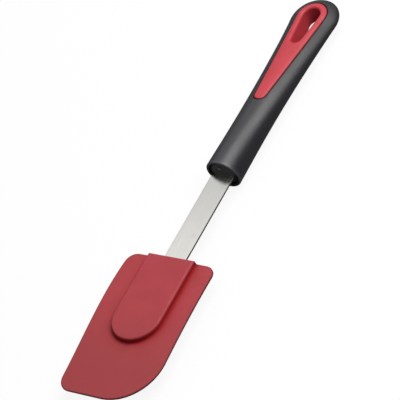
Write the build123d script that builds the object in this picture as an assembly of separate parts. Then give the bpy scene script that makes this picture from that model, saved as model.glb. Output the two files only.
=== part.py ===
from build123d import *
from math import asin, cos, sin
import os

# Silicone spatula: a flexible blade moulded on a flat steel shank, and a
# hard handle with a soft inlay that lines its hanging slot. All sizes are in
# millimetres. Each piece is drawn from the handle's front end, with X across
# the blade, Y towards the hanging end and Z out of the front side. The last
# step stands the whole tool on its lowest point.

# Overrun of every cutting or trimming body past the faces it crosses
overrun = 2.0

# Shank: one flat strip with a keyed tang at each end
shank_width = 14.7
shank_thickness = 1.2
shank_bare_length = 60.5
handle_tang_length = 40.0
blade_tang_length = 44.0
tang_corner_radius = 3.0
key_hole_diameter = 6.0
key_hole_pitch = 12.0
key_hole_end_distance = 8.0
handle_key_count = 2
blade_key_count = 3

# Blade: reach to either side of the shank's centre line, how far each side
# lies inside that reach at its other places, and the shares of the length
blade_length = 92.1
left_reach = 31.4
left_top_setback = 1.6
left_lower_setback = 1.7
left_bottom_setback = 4.3
right_reach = 31.9
right_top_setback = 2.8
right_waist_setback = 3.05
right_lower_setback = 2.3
left_widest_share = 0.30
left_lower_share = 0.60
right_waist_share = 0.33
right_lower_share = 0.56
top_left_radius = 7.0
top_right_radius = 6.0
bottom_left_radius = 8.3
working_corner_radius = 27.0

# Blade section: thick at the middle, thin at the scraping edges
blade_core_thickness = 2.4
blade_lip_core_thickness = 1.3
blade_edge_thickness = 0.9
blade_rim_chamfer = 0.3

# Tongue: the thick part of the blade round the shank's tang
tongue_half_width = 15.7
tongue_length = 56.2
tongue_half_thickness = 4.2
tongue_edge_radius = 1.0

# Hanging slot: teardrop through the inlay and the handle, placed from the
# handle's front end
slot_centre_distance = 116.5
slot_wide_radius = 5.5
slot_narrow_distance = 97.8
slot_narrow_radius = 3.3
slot_front_radius = 2.0
slot_back_radius = 0.3
lining_wall = 2.0

# Soft inlay: tapered tongue in the handle's front side, round the slot's centre
inlay_tip_distance = 49.0
inlay_tip_radius = 4.4
inlay_wide_radius = 10.3
inlay_depth = 1.8
inlay_stand = 0.35
inlay_edge_radius = 1.1

# Handle: half width, front height and back depth of its section at stations
# from the front end to the slot's centre, where the round hanging end starts
station_shares = (0.0, 0.26, 0.52, 0.78, 0.935, 1.0)
half_widths = (10.8, 10.75, 11.75, 13.4, 14.85, 15.6)
front_heights = (11.1, 9.45, 7.5, 5.8, 4.85, 4.6)
back_depths = (10.3, 9.45, 8.4, 8.0, 7.6, 7.35)
end_edge_radius = 0.8
end_rim_width = 1.7
end_recess_depth = 0.8


def tapered_slot(near_distance, near_radius, far_distance, far_radius):
    """Face round two circles on the Y axis and their common tangents."""
    lean = asin((far_radius - near_radius) / (far_distance - near_distance))
    near_half, near_touch = near_radius * cos(lean), near_distance - near_radius * sin(lean)
    far_half, far_touch = far_radius * cos(lean), far_distance - far_radius * sin(lean)
    near_end = ThreePointArc(
        (near_half, near_touch), (0, near_distance - near_radius), (-near_half, near_touch)
    )
    far_end = ThreePointArc(
        (-far_half, far_touch), (0, far_distance + far_radius), (far_half, far_touch)
    )
    sides = [Line(near_end @ 1, far_end @ 0), Line(far_end @ 1, near_end @ 0)]
    return make_face([near_end, sides[0], far_end, sides[1]])


# Shank


def strip_plan():
    """Plan of the shank from tang end to tang end, with rounded corners."""
    blade_end = -shank_bare_length - blade_tang_length
    length = handle_tang_length - blade_end
    middle = (handle_tang_length + blade_end) / 2
    return Pos(0, middle) * RectangleRounded(shank_width, length, tang_corner_radius)


def key_holes():
    """Plan of the holes that the blade and the handle are moulded through."""
    handle_end = handle_tang_length - key_hole_end_distance
    blade_end = -shank_bare_length - blade_tang_length + key_hole_end_distance
    places = [handle_end - key_hole_pitch * index for index in range(handle_key_count)]
    places += [blade_end + key_hole_pitch * index for index in range(blade_key_count)]
    return [Pos(0, place) * Circle(key_hole_diameter / 2) for place in places]


def make_shank():
    """Flat strip with its key holes, centred on the tool's mid plane."""
    plan = strip_plan()
    for hole in key_holes():
        plan = plan - hole
    return extrude(plan, shank_thickness / 2, both=True)


# Blade


def round_corner(solid, place, radius):
    """Round the upright edge nearest to a plan place."""
    upright = solid.edges().filter_by(Axis.Z)
    corner = upright.sort_by_distance(place)[0]
    return fillet(corner, radius)


def blade_slab():
    """Slab of the blade's plan: bowed sides and four rounded corners."""
    top = -shank_bare_length
    bottom = top - blade_length
    left = Spline(
        (left_top_setback - left_reach, top),
        (-left_reach, top - blade_length * left_widest_share),
        (left_lower_setback - left_reach, top - blade_length * left_lower_share),
        (left_bottom_setback - left_reach, bottom),
    )
    right = Spline(
        (right_reach - right_top_setback, top),
        (right_reach - right_waist_setback, top - blade_length * right_waist_share),
        (right_reach - right_lower_setback, top - blade_length * right_lower_share),
        (right_reach, bottom),
    )
    sides = [left, Line(left @ 1, right @ 1), right, Line(left @ 0, right @ 0)]
    slab = extrude(make_face(sides), tongue_half_thickness, both=True)
    slab = round_corner(slab, left @ 0, top_left_radius)
    slab = round_corner(slab, right @ 0, top_right_radius)
    slab = round_corner(slab, left @ 1, bottom_left_radius)
    return round_corner(slab, right @ 1, working_corner_radius)


def lens_section(place, core_thickness):
    """Upright section across the blade, thickest at the middle."""
    reach = max(left_reach, right_reach) + overrun
    core, edge = core_thickness / 2, blade_edge_thickness / 2
    front = ThreePointArc((-reach, place, edge), (0, place, core), (reach, place, edge))
    back = ThreePointArc((-reach, place, -edge), (0, place, -core), (reach, place, -edge))
    return make_face([front, back, Line(front @ 0, back @ 0), Line(front @ 1, back @ 1)])


def tongue_block():
    """Straight-sided tongue with a round end, rounded along its faces."""
    top = -shank_bare_length
    straight = tongue_length - tongue_half_width
    plan = Pos(0, top - straight) * Circle(tongue_half_width)
    plan = plan + Pos(0, top - straight / 2) * Rectangle(2 * tongue_half_width, straight)
    block = extrude(plan, tongue_half_thickness, both=True)
    return fillet(block.faces().filter_by(Axis.Z).edges(), tongue_edge_radius)


def make_blade(shank):
    """Silicone head: lens-shaped blade and tongue, moulded round the shank."""
    top = -shank_bare_length
    bottom = top - blade_length
    upper = lens_section(top + overrun, blade_core_thickness)
    lower = lens_section(bottom - overrun, blade_lip_core_thickness)
    blade = blade_slab() & loft([upper, lower])
    sides = blade.faces().sort_by(Axis.Z)
    blade = chamfer(sides[-1].edges() + sides[0].edges(), blade_rim_chamfer)
    return blade + tongue_block() - shank


# Handle


def handle_sections(grow):
    """Sections of the handle, each grown outwards by the same amount."""
    stations = zip(station_shares, half_widths, front_heights, back_depths)
    for share, half_width, front, back in stations:
        centre = (0, slot_centre_distance * share, (front - back) / 2)
        shape = scale(Circle(1), by=(half_width + grow, (front + back) / 2 + grow, 1))
        yield Plane(origin=centre, x_dir=(1, 0, 0), z_dir=(0, 1, 0)) * shape


def handle_form(grow=0):
    """Lofted form of the handle from its front end to the slot's centre."""
    return loft(list(handle_sections(grow)))


def round_end(part):
    """Carry a part on round the slot's centre by turning its end section."""
    ends = part.faces().filter_by(Plane.XZ).sort_by(Axis.Y)[-2:]
    section = ends.sort_by(Axis.X)[-1]
    return part + revolve(section, Axis((0, slot_centre_distance, 0), (0, 0, 1)), 180)


def end_recess():
    """Shallow recess in the front end face, inside a rim."""
    front, back = front_heights[0] - end_rim_width, back_depths[0] - end_rim_width
    shape = scale(Circle(1), by=(half_widths[0] - end_rim_width, (front + back) / 2, 1))
    centre = (0, 0, (front - back) / 2)
    place = Plane(origin=centre, x_dir=(1, 0, 0), z_dir=(0, 1, 0))
    return extrude(place * shape, end_recess_depth)


def inlay_prism():
    """Tall body of the inlay's plan, from the mid plane past the front."""
    near = inlay_tip_distance + inlay_tip_radius
    plan = tapered_slot(near, inlay_tip_radius, slot_centre_distance, inlay_wide_radius)
    return extrude(plan, front_heights[0] + overrun)


def slot_prism(wall=0):
    """Tall body of the hanging slot, grown by a wall, through both sides."""
    plan = tapered_slot(
        slot_narrow_distance, slot_narrow_radius + wall, slot_centre_distance, slot_wide_radius + wall
    )
    return extrude(plan, front_heights[0] + overrun, both=True)


def make_handle(form, floor, shank):
    """Hard handle with end recess, inlay pocket and the lined slot's hole."""
    front_rim = form.faces().sort_by(Axis.Y)[0].edges()
    body = fillet(front_rim, end_edge_radius) - end_recess()
    body = body - (inlay_prism() - floor)
    return round_end(body - slot_prism(lining_wall) - shank)


def free_edges(edges):
    """Edges that follow the curved surface, without uprights and end section."""
    return edges.filter_by(Plane.XZ, reverse=True).filter_by(Axis.Z, reverse=True)


def slot_edges(part, side):
    """Edges round the slot's opening on the front (1) or the back (-1)."""
    zone = slot_prism(lining_wall / 2)
    edges = part.edges().filter_by(lambda edge: zone.is_inside(edge @ 0.5))
    return free_edges(edges).filter_by(lambda edge: side * (edge @ 0.5).Z > 0)


def make_inlay(form, floor):
    """Soft inlay: proud tongue on the pocket's floor and the slot's lining."""
    tongue = (handle_form(inlay_stand) & inlay_prism()) - floor
    face = tongue.faces().sort_by(SortBy.AREA)[-2:].sort_by(Axis.Z)[-1]
    tongue = fillet(free_edges(face.edges()), inlay_edge_radius)
    inlay = tongue + (form & slot_prism(lining_wall)) - slot_prism()
    inlay = fillet(slot_edges(inlay, 1), slot_front_radius)
    inlay = fillet(slot_edges(inlay, -1), slot_back_radius)
    return round_end(inlay)


shank = make_shank()
form = handle_form()
floor = handle_form(-inlay_depth)
nodes = {
    "silicone_blade": make_blade(shank),
    "steel_shank": shank,
    "handle_body": make_handle(form, floor, shank),
    "soft_inlay": make_inlay(form, floor),
}

# The whole tool, centred along its length and standing on its lowest point
handle_length = slot_centre_distance + half_widths[-1]
middle = (handle_length - shank_bare_length - blade_length) / 2
stand = Pos(0, -middle, max(back_depths))

os.makedirs("parts", exist_ok=True)
for name, solid in nodes.items():
    export_step(stand * solid, "parts/" + name + ".step")
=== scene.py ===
"""Silicone spatula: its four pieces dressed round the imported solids, on a pale studio floor."""

import logging
import math
from collections.abc import Callable, Sequence
from dataclasses import dataclass, field, replace
from enum import Enum
from functools import cached_property

import bmesh
import bpy
import numpy as np
from mathutils import Matrix, Vector
from mathutils.geometry import delaunay_2d_cdt


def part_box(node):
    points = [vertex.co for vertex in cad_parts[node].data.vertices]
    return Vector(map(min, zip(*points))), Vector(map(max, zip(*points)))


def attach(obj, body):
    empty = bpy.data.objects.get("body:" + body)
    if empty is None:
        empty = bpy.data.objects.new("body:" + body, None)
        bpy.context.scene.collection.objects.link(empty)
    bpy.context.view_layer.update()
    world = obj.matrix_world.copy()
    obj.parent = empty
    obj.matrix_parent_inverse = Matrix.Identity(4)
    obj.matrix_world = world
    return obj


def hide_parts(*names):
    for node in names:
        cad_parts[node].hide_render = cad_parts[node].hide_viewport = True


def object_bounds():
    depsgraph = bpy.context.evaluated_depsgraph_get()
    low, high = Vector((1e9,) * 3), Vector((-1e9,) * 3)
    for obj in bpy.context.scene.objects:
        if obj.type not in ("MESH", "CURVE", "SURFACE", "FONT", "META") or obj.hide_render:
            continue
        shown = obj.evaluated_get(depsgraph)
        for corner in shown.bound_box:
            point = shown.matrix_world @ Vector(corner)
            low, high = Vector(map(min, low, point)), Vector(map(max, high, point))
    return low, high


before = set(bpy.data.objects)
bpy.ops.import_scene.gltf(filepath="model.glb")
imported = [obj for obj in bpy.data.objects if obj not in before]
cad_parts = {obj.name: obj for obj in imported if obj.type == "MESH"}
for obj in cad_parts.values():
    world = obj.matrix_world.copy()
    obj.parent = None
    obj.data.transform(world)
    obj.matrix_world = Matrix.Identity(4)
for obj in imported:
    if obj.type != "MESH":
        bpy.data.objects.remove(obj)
cad_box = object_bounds()

log = logging.getLogger("spatula")

MM = 0.001

# Mean of Blender's noise
MEAN = 0.5

# Keeps a division away from zero
TINY = 1e-12

# Distance between rows of staggered points, as a share of their spacing
ROW_STEP = math.sqrt(3) / 2

Colour = tuple[float, float, float, float]
Source = "Signal | float | Colour | bpy.types.NodeSocket"


def linear(code: str) -> Colour:
    """Turn a hexadecimal sRGB code into a linear colour.

    Args:
        code: Six hexadecimal digits, red first.

    Returns:
        Linear red, green, blue and an alpha of 1.
    """
    shares = [int(code[place : place + 2], 16) / 255 for place in (0, 2, 4)]
    toe, slope, offset, power = 0.04045, 12.92, 0.055, 2.4
    red, green, blue = (
        share / slope if share <= toe else ((share + offset) / (1 + offset)) ** power
        for share in shares
    )
    return (red, green, blue, 1.0)


class Side(Enum):
    """Side of a flat piece that a surface belongs to."""

    FRONT = 1
    BACK = -1


# Shader maths


class Signal:
    """A node socket that Python's operators work on."""

    def __init__(self, bench: "NodeBench", socket: bpy.types.NodeSocket) -> None:
        """Keep the socket and the bench that its next nodes are added on."""
        self.bench = bench
        self.socket = socket

    def _math(self, operation: str, first: Source, second: Source = 0.0) -> "Signal":
        """Add one Math node.

        Args:
            operation: Operation of the node.
            first: Its first value.
            second: Its second value.

        Returns:
            The node's result.
        """
        node = self.bench.node(
            "ShaderNodeMath", {"operation": operation}, {0: first, 1: second}
        )
        return Signal(self.bench, node.outputs[0])

    def __add__(self, other: Source) -> "Signal":
        """Add a value on the right."""
        return self._math("ADD", self, other)

    def __radd__(self, other: Source) -> "Signal":
        """Add a value on the left."""
        return self._math("ADD", other, self)

    def __sub__(self, other: Source) -> "Signal":
        """Take a value away."""
        return self._math("SUBTRACT", self, other)

    def __rsub__(self, other: Source) -> "Signal":
        """Take this away from a value."""
        return self._math("SUBTRACT", other, self)

    def __mul__(self, other: Source) -> "Signal":
        """Multiply by a value on the right."""
        return self._math("MULTIPLY", self, other)

    def __rmul__(self, other: Source) -> "Signal":
        """Multiply by a value on the left."""
        return self._math("MULTIPLY", other, self)

    def clamped(self) -> "Signal":
        """Keep the value between 0 and 1."""
        return self._math("MINIMUM", self._math("MAXIMUM", self, 0.0), 1.0)

    def ramp(self, low: float, high: float) -> "Signal":
        """Smooth step of the value from 0 at low to 1 at high.

        Args:
            low: Value at which the step starts.
            high: Value at which the step ends.

        Returns:
            The step, between 0 and 1.
        """
        node = self.bench.node(
            "ShaderNodeMapRange",
            {"interpolation_type": "SMOOTHSTEP"},
            {"Value": self, "From Min": low, "From Max": high},
        )
        return Signal(self.bench, node.outputs[0])


class NodeBench:
    """Adds nodes to one node tree."""

    def __init__(self, tree: bpy.types.NodeTree) -> None:
        """Clear the tree and keep it."""
        tree.nodes.clear()
        self.tree = tree

    def node(
        self,
        kind: str,
        settings: dict[str, object] | None = None,
        inputs: dict[str | int, Source] | None = None,
    ) -> bpy.types.Node:
        """Add one node.

        Args:
            kind: Type name of the node.
            settings: Properties of the node, set first.
            inputs: Values or links of its sockets, by name or place.

        Returns:
            The new node.
        """
        made = self.tree.nodes.new(kind)
        for name, value in (settings or {}).items():
            setattr(made, name, value)
        for key, value in (inputs or {}).items():
            source = value.socket if isinstance(value, Signal) else value
            if isinstance(source, bpy.types.NodeSocket):
                self.tree.links.new(source, made.inputs[key])
            else:
                made.inputs[key].default_value = source
        return made

    def signal(self, kind: str, output: str | int, **parts: dict) -> Signal:
        """Add one node and take one of its outputs.

        Args:
            kind: Type name of the node.
            output: Name or place of the output.
            parts: The node's settings and inputs.

        Returns:
            The output.
        """
        made = self.node(kind, parts.get("settings"), parts.get("inputs"))
        return Signal(self, made.outputs[output])

    def place(self, stretch: tuple[float, float, float] = (1, 1, 1)) -> Signal:
        """Position on the object in metres, stretched along its axes.

        Args:
            stretch: Factor along each axis.

        Returns:
            The position as a vector.
        """
        where = self.signal("ShaderNodeTexCoord", "Object")
        return self.signal(
            "ShaderNodeVectorMath",
            0,
            settings={"operation": "MULTIPLY"},
            inputs={0: where, 1: stretch},
        )

    def noise(self, where: Signal, grain: float, detail: float = 2.0) -> Signal:
        """Noise of one grain size.

        Args:
            where: Position in metres.
            grain: Size of the noise's lumps in millimetres.
            detail: Octaves of finer noise.

        Returns:
            The noise, around 0.5.
        """
        return self.signal(
            "ShaderNodeTexNoise",
            0,
            inputs={"Vector": where, "Scale": 1 / (grain * MM), "Detail": detail},
        )

    def axis(self, where: Signal, number: int) -> Signal:
        """Take one number out of a vector, 0 for its first."""
        return self.signal("ShaderNodeSeparateXYZ", number, inputs={0: where})

    def blend(self, share: Source, first: Source, second: Source) -> Signal:
        """Mix two colours.

        Args:
            share: Share of the second colour.
            first: First colour.
            second: Second colour.

        Returns:
            The mixed colour.
        """
        made = self.node("ShaderNodeMix", {"data_type": "RGBA"}, {0: share, 6: first, 7: second})
        return Signal(self, made.outputs[2])

    def bump(self, height: Signal, depth: float, under: Signal | None = None) -> Signal:
        """Normal of a surface with a fine relief.

        Args:
            height: Relief between 0 and 1.
            depth: Height of the relief in millimetres.
            under: Normal that the relief lies on.

        Returns:
            The normal.
        """
        inputs: dict[str | int, Source] = {"Height": height, "Distance": depth * MM}
        if under is not None:
            inputs["Normal"] = under
        return self.signal("ShaderNodeBump", 0, inputs=inputs)

    def painted(self, name: str) -> Signal:
        """Read a value that is painted on the mesh's points."""
        return self.signal("ShaderNodeAttribute", "Fac", settings={"attribute_name": name})


@dataclass(frozen=True)
class Surface:
    """What every finish of the spatula has in common.

    Attributes:
        name: Name of the material.
        base: Main colour as a hexadecimal code.
        roughness: Mean roughness.
        ior: Refractive index of the surface.
    """

    name: str
    base: str
    roughness: float
    ior: float = 1.5

    def colour(self, bench: NodeBench) -> Source:
        """Colour over the surface."""
        return linear(self.base)

    def rough(self, bench: NodeBench) -> Source:
        """Roughness over the surface."""
        return self.roughness

    def relief(self, bench: NodeBench) -> Signal | None:
        """Normal over the surface, or None where it is smooth."""
        return None

    def fixed(self) -> dict[str | int, Source]:
        """Sockets that hold one number all over the surface."""
        return {"IOR": self.ior}

    def material(self) -> bpy.types.Material:
        """Make the material of this finish.

        Returns:
            The material.
        """
        made = bpy.data.materials.new(self.name)
        made.use_nodes = True
        bench = NodeBench(made.node_tree)
        inputs: dict[str | int, Source] = {
            "Base Color": self.colour(bench),
            "Roughness": self.rough(bench),
            **self.fixed(),
        }
        normal = self.relief(bench)
        if normal is not None:
            inputs["Normal"] = normal
        shader = bench.node("ShaderNodeBsdfPrincipled", inputs=inputs)
        bench.node("ShaderNodeOutputMaterial", inputs={"Surface": shader.outputs[0]})
        return made


@dataclass(frozen=True)
class SiliconeFinish(Surface):
    """Matt moulded silicone with a soft cloudiness and a fine skin.

    Attributes:
        deep: Colour of the cloudier patches.
        painted_shade: Colour of the shade painted at wall feet and in gaps.
        painted_rim_shade: Colour of the shade painted on the narrow rims.
        lower: Colour towards the working edge.
        lower_share: How far it leans there.
        lower_from: Where the lower colour starts along the tool, in metres.
        lower_to: Where it is complete.
        cloud: Size of the clouds in millimetres.
        grain: Size of the skin's grain in millimetres.
        grain_depth: Height of the skin's grain in millimetres.
        waviness: Height of the slow waves of the moulding in millimetres.
    """

    deep: str = "A63940"
    painted_shade: str = "940006"
    painted_rim_shade: str = "5C0414"
    lower: str = "9E3A3E"
    lower_share: float = 0.0
    lower_from: float = -0.075
    lower_to: float = -0.125
    cloud: float = 16.0
    grain: float = 0.35
    grain_depth: float = 0.012
    waviness: float = 0.05

    def colour(self, bench: NodeBench) -> Source:
        """Cloudy base, lower tone, and painted shade at wall feet, in gaps and on the rims."""
        where = bench.place()
        cloud_share, speck_share, speck_grain = 0.6, 0.15, self.grain * 3
        clouds = bench.noise(where, self.cloud, detail=3.0).ramp(low=0.35, high=0.7) * cloud_share
        specks = bench.noise(where, speck_grain, detail=1.0).ramp(low=0.6, high=0.75) * speck_share
        body = bench.blend(clouds + specks, linear(self.base), linear(self.deep))
        low = bench.axis(where, 1).ramp(self.lower_from, self.lower_to) * self.lower_share
        body = bench.blend(low, body, linear(self.lower))
        # Painted shade at wall feet and in gaps.
        body = bench.blend(bench.painted("painted_shade"), body, linear(self.painted_shade))
        # Painted shade on the narrow rims.
        return bench.blend(bench.painted("painted_rim_shade"), body, linear(self.painted_rim_shade))

    def rough(self, bench: NodeBench) -> Source:
        """A little gloss in the clouds and more on the grain's tops, and matt where shade is painted."""
        where = bench.place()
        slow_share, fine_share, painted_shade_matt = 0.16, 0.12, 0.3
        slow = (bench.noise(where, self.cloud / 2, detail=2.0) - MEAN) * slow_share
        fine = (bench.noise(where, self.grain, detail=2.0) - MEAN) * fine_share
        matt = bench.painted("painted_shade") * painted_shade_matt
        return (slow + fine + matt + self.roughness).clamped()

    def relief(self, bench: NodeBench) -> Signal | None:
        """Slow waves with the fine skin on them."""
        where = bench.place()
        waves = bench.bump(bench.noise(where, self.cloud, detail=1.0), self.waviness)
        return bench.bump(bench.noise(where, self.grain, detail=3.0), self.grain_depth, waves)


@dataclass(frozen=True)
class MouldedPlasticFinish(Surface):
    """Hard black plastic with a spark-eroded mould texture.

    Attributes:
        grey: Colour of the texture's tops, dulled by handling.
        grain: Size of the texture in millimetres.
        grain_depth: Height of the texture in millimetres.
        highlight_and_gate_grey: Colour of the highlight painted on the front end's rim and of the gate's
            tip.
        scuff: Length of the faint handling marks in millimetres.
        mirror: Level of its mirror, where 0.5 is clear plastic's.
        dull: How much rougher the less handled hanging end is.
        dull_zone: Where that starts and is complete along the tool, in metres.
    """

    grey: str = "323238"
    grain: float = 0.3
    grain_depth: float = 0.014
    highlight_and_gate_grey: str = "84848A"
    scuff: float = 22.0
    mirror: float = 0.82
    dull: float = 0.13
    dull_zone: tuple[float, float] = (0.03, 0.13)

    def fixed(self) -> dict[str | int, Source]:
        """A stronger mirror than clear plastic has."""
        return {"IOR": self.ior, "Specular IOR Level": self.mirror}

    def _texture(self, bench: NodeBench) -> Signal:
        """Relief of the mould texture, between 0 and 1."""
        where = bench.place()
        fine_share, coarse_share, coarse_grain = 0.6, 0.4, self.grain * 3
        fine = bench.noise(where, self.grain, detail=3.0) * fine_share
        return fine + bench.noise(where, coarse_grain) * coarse_share

    def _scuffs(self, bench: NodeBench) -> Signal:
        """Faint handling marks along the handle."""
        squeeze = 14.0
        where = bench.place((squeeze, 1.0, squeeze))
        return bench.noise(where, self.scuff, detail=4.0).ramp(low=0.56, high=0.72)

    def colour(self, bench: NodeBench) -> Source:
        """Black with greyer tops, a highlight painted on the front end's rim and a lighter gate mark."""
        top_share, scuff_share = 0.35, 0.2
        tops = self._texture(bench).ramp(low=0.5, high=0.75) * top_share
        share = (tops + self._scuffs(bench) * scuff_share).clamped()
        body = bench.blend(share, linear(self.base), linear(self.grey))
        # Painted highlight on the front end's rim, and the gate mark's lighter grey.
        return bench.blend(bench.painted("rim_highlight_and_gate"), body, linear(self.highlight_and_gate_grey))

    def rough(self, bench: NodeBench) -> Source:
        """Satin, smoother where hands rub."""
        patch, slow_share, fine_share, scuff_share = 24.0, 0.12, 0.1, 0.05
        slow = (bench.noise(bench.place(), patch, detail=2.0) - MEAN) * slow_share
        fine = (self._texture(bench) - MEAN) * fine_share
        mean = bench.axis(bench.place(), 1).ramp(*self.dull_zone) * self.dull + self.roughness
        return (slow + fine - self._scuffs(bench) * scuff_share + mean).clamped()

    def relief(self, bench: NodeBench) -> Signal | None:
        """Mould texture."""
        return bench.bump(self._texture(bench), self.grain_depth)


@dataclass(frozen=True)
class BrushedSteelFinish(Surface):
    """Stainless steel with a lengthwise satin grain.

    Attributes:
        shade: Colour at the bottom of the grain.
        cut_edge_and_shade: Colour of the sheared edges, a duller grey darkened further as painted shade.
        painted_light: Lighter colour towards the head, a painted reflection.
        line: Spacing of the grain's lines in millimetres.
        stretch: How much longer the lines are than wide.
        line_depth: Depth of the lines in millimetres.
        smear: Size of the fingerprints in millimetres.
        painted_light_zone: Where the painted reflection starts and is complete along the tool, in metres.
    """

    shade: str = "A9A8A4"
    cut_edge_and_shade: str = "7A7773"
    painted_light: str = "DDDBD6"
    line: float = 0.12
    stretch: float = 90.0
    line_depth: float = 0.0012
    smear: float = 9.0
    painted_light_zone: tuple[float, float] = (0.01, -0.05)

    def _lines(self, bench: NodeBench) -> Signal:
        """Long fine lines and broader streaks, between 0 and 1."""
        where = bench.place((1.0, 1 / self.stretch, 1.0))
        line_share, streak_share, streak = 0.6, 0.4, self.line * 8
        lines = bench.noise(where, self.line, detail=3.0) * line_share
        return lines + bench.noise(where, streak) * streak_share

    def colour(self, bench: NodeBench) -> Source:
        """Light metal with darker lines, a few fingerprints, a painted reflection towards the head and
        painted shade on the sheared edges.
        """
        smear_share, line_share = 0.2, 0.25
        smears = bench.noise(bench.place(), self.smear, detail=3.0).ramp(low=0.55, high=0.8) * smear_share
        share = (1 - self._lines(bench).ramp(low=0.3, high=0.7)) * line_share + smears
        # Painted reflection: the strip turns lighter towards the head.
        painted_light_share = bench.axis(bench.place(), 1).ramp(*self.painted_light_zone)
        body = bench.blend(painted_light_share, linear(self.base), linear(self.painted_light))
        face = bench.blend(share, body, linear(self.shade))
        # Sheared edges in a duller grey, darkened further as painted shade.
        return bench.blend(bench.painted("cut_edge_and_shade"), face, linear(self.cut_edge_and_shade))

    def rough(self, bench: NodeBench) -> Source:
        """Satin with streaks."""
        smear_share, streak_share, cut_share = 0.1, 0.2, 0.3
        smears = (bench.noise(bench.place(), self.smear, detail=3.0) - MEAN) * smear_share
        streaks = (self._lines(bench) - MEAN) * streak_share
        sheared = bench.painted("cut_edge_and_shade") * cut_share
        return (streaks + smears + sheared + self.roughness).clamped()

    def relief(self, bench: NodeBench) -> Signal | None:
        """Brushed lines."""
        return bench.bump(self._lines(bench), self.line_depth)

    def fixed(self) -> dict[str | int, Source]:
        """Full metal all over."""
        return {"IOR": self.ior, "Metallic": 1.0}


# Mesh drawing


def inside(points: np.ndarray, loop: np.ndarray) -> np.ndarray:
    """Tell which points lie inside a closed loop.

    Args:
        points: Points to test, one row each.
        loop: Corners of the loop in order.

    Returns:
        True or False for each point.
    """
    ends = np.roll(loop, -1, axis=0)
    result = np.zeros(len(points), bool)
    for (x0, y0), (x1, y1) in zip(loop, ends):
        if y0 == y1:
            continue
        crosses = (points[:, 1] < y0) != (points[:, 1] < y1)
        edge_x = x0 + (points[:, 1] - y0) * (x1 - x0) / (y1 - y0)
        result ^= crosses & (points[:, 0] < edge_x)
    return result


def distance_to(points: np.ndarray, loop: np.ndarray) -> np.ndarray:
    """Distance of points from a closed loop.

    Args:
        points: Points, one row each.
        loop: Corners of the loop in order.

    Returns:
        The distance of each point from the loop's nearest edge.
    """
    best = np.full(len(points), np.inf)
    for start, end in zip(loop, np.roll(loop, -1, axis=0)):
        edge = end - start
        share = np.clip((points - start) @ edge / max(edge @ edge, TINY), 0, 1)
        gap = points - start - share[:, None] * edge
        best = np.minimum(best, (gap**2).sum(1))
    return np.sqrt(best)


def scattered(low: np.ndarray, high: np.ndarray, spacing: float) -> np.ndarray:
    """Staggered rows of points over a rectangle.

    Args:
        low: Lowest corner.
        high: Highest corner.
        spacing: Distance between neighbours.

    Returns:
        The points, one row each.
    """
    rows = np.arange(low[1], high[1], spacing * ROW_STEP)
    shifts = np.arange(len(rows)) % 2 * spacing / 2
    columns = np.arange(low[0], high[0], spacing)
    return np.array([(x + shift, y) for y, shift in zip(rows, shifts) for x in columns])


@dataclass
class Plan:
    """A flat region split into triangles along given lines.

    Attributes:
        outline: Closed loop round the region.
        holes: Closed loops taken out of it.
        rings: Closed lines that the triangles follow.
        lines: Open lines that the triangles follow.
        spacing: Distance between free points, or 0 for none.
        clearance: Share of the spacing that free points keep from the lines.
        merge: Distance below which two points are one.
    """

    outline: np.ndarray
    holes: list[np.ndarray] = field(default_factory=list)
    rings: list[np.ndarray] = field(default_factory=list)
    lines: list[np.ndarray] = field(default_factory=list)
    spacing: float = 0.0
    clearance: float = 0.6
    merge: float = 1e-5

    def _free_points(self, taken: np.ndarray) -> np.ndarray:
        """Staggered points that keep clear of the lines.

        Args:
            taken: Points that are on a line already.

        Returns:
            The free points.
        """
        free = scattered(self.outline.min(0), self.outline.max(0), self.spacing)
        gaps = np.array([((taken - point) ** 2).sum(1).min() for point in free])
        return free[gaps > (self.spacing * self.clearance) ** 2]

    def triangles(self) -> tuple[np.ndarray, np.ndarray]:
        """Cut the region.

        Returns:
            Its points, and three point numbers for each triangle.
        """
        closed = [self.outline, *self.holes, *self.rings]
        points: list[np.ndarray] = []
        edges: list[tuple[int, int]] = []
        for line in closed + self.lines:
            first, count = sum(map(len, points)), len(line)
            steps = [(first + i, first + i + 1) for i in range(count - 1)]
            edges += steps
            if any(line is loop for loop in closed):
                edges.append((first + count - 1, first))
            points.append(line)
        if self.spacing:
            points.append(self._free_points(np.concatenate(points)))
        flat = [Vector(point) for point in np.concatenate(points)]
        found, _, faces, *_ = delaunay_2d_cdt(flat, edges, [], 0, self.merge)
        where = np.array([tuple(point) for point in found])
        corners = np.array(faces)
        centres = where[corners].mean(1)
        kept = inside(centres, self.outline)
        for hole in self.holes:
            kept &= ~inside(centres, hole)
        return where, corners[kept]


def border(corners: np.ndarray) -> list[tuple[int, int]]:
    """Find the edges that only one triangle has, in the triangle's direction.

    Args:
        corners: Three point numbers for each triangle.

    Returns:
        Start and end of each such edge.
    """
    pairs = [(int(a), int(b)) for tri in corners for a, b in zip(tri, np.roll(tri, -1))]
    known = set(pairs)
    return [(a, b) for a, b in pairs if (b, a) not in known]


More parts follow.
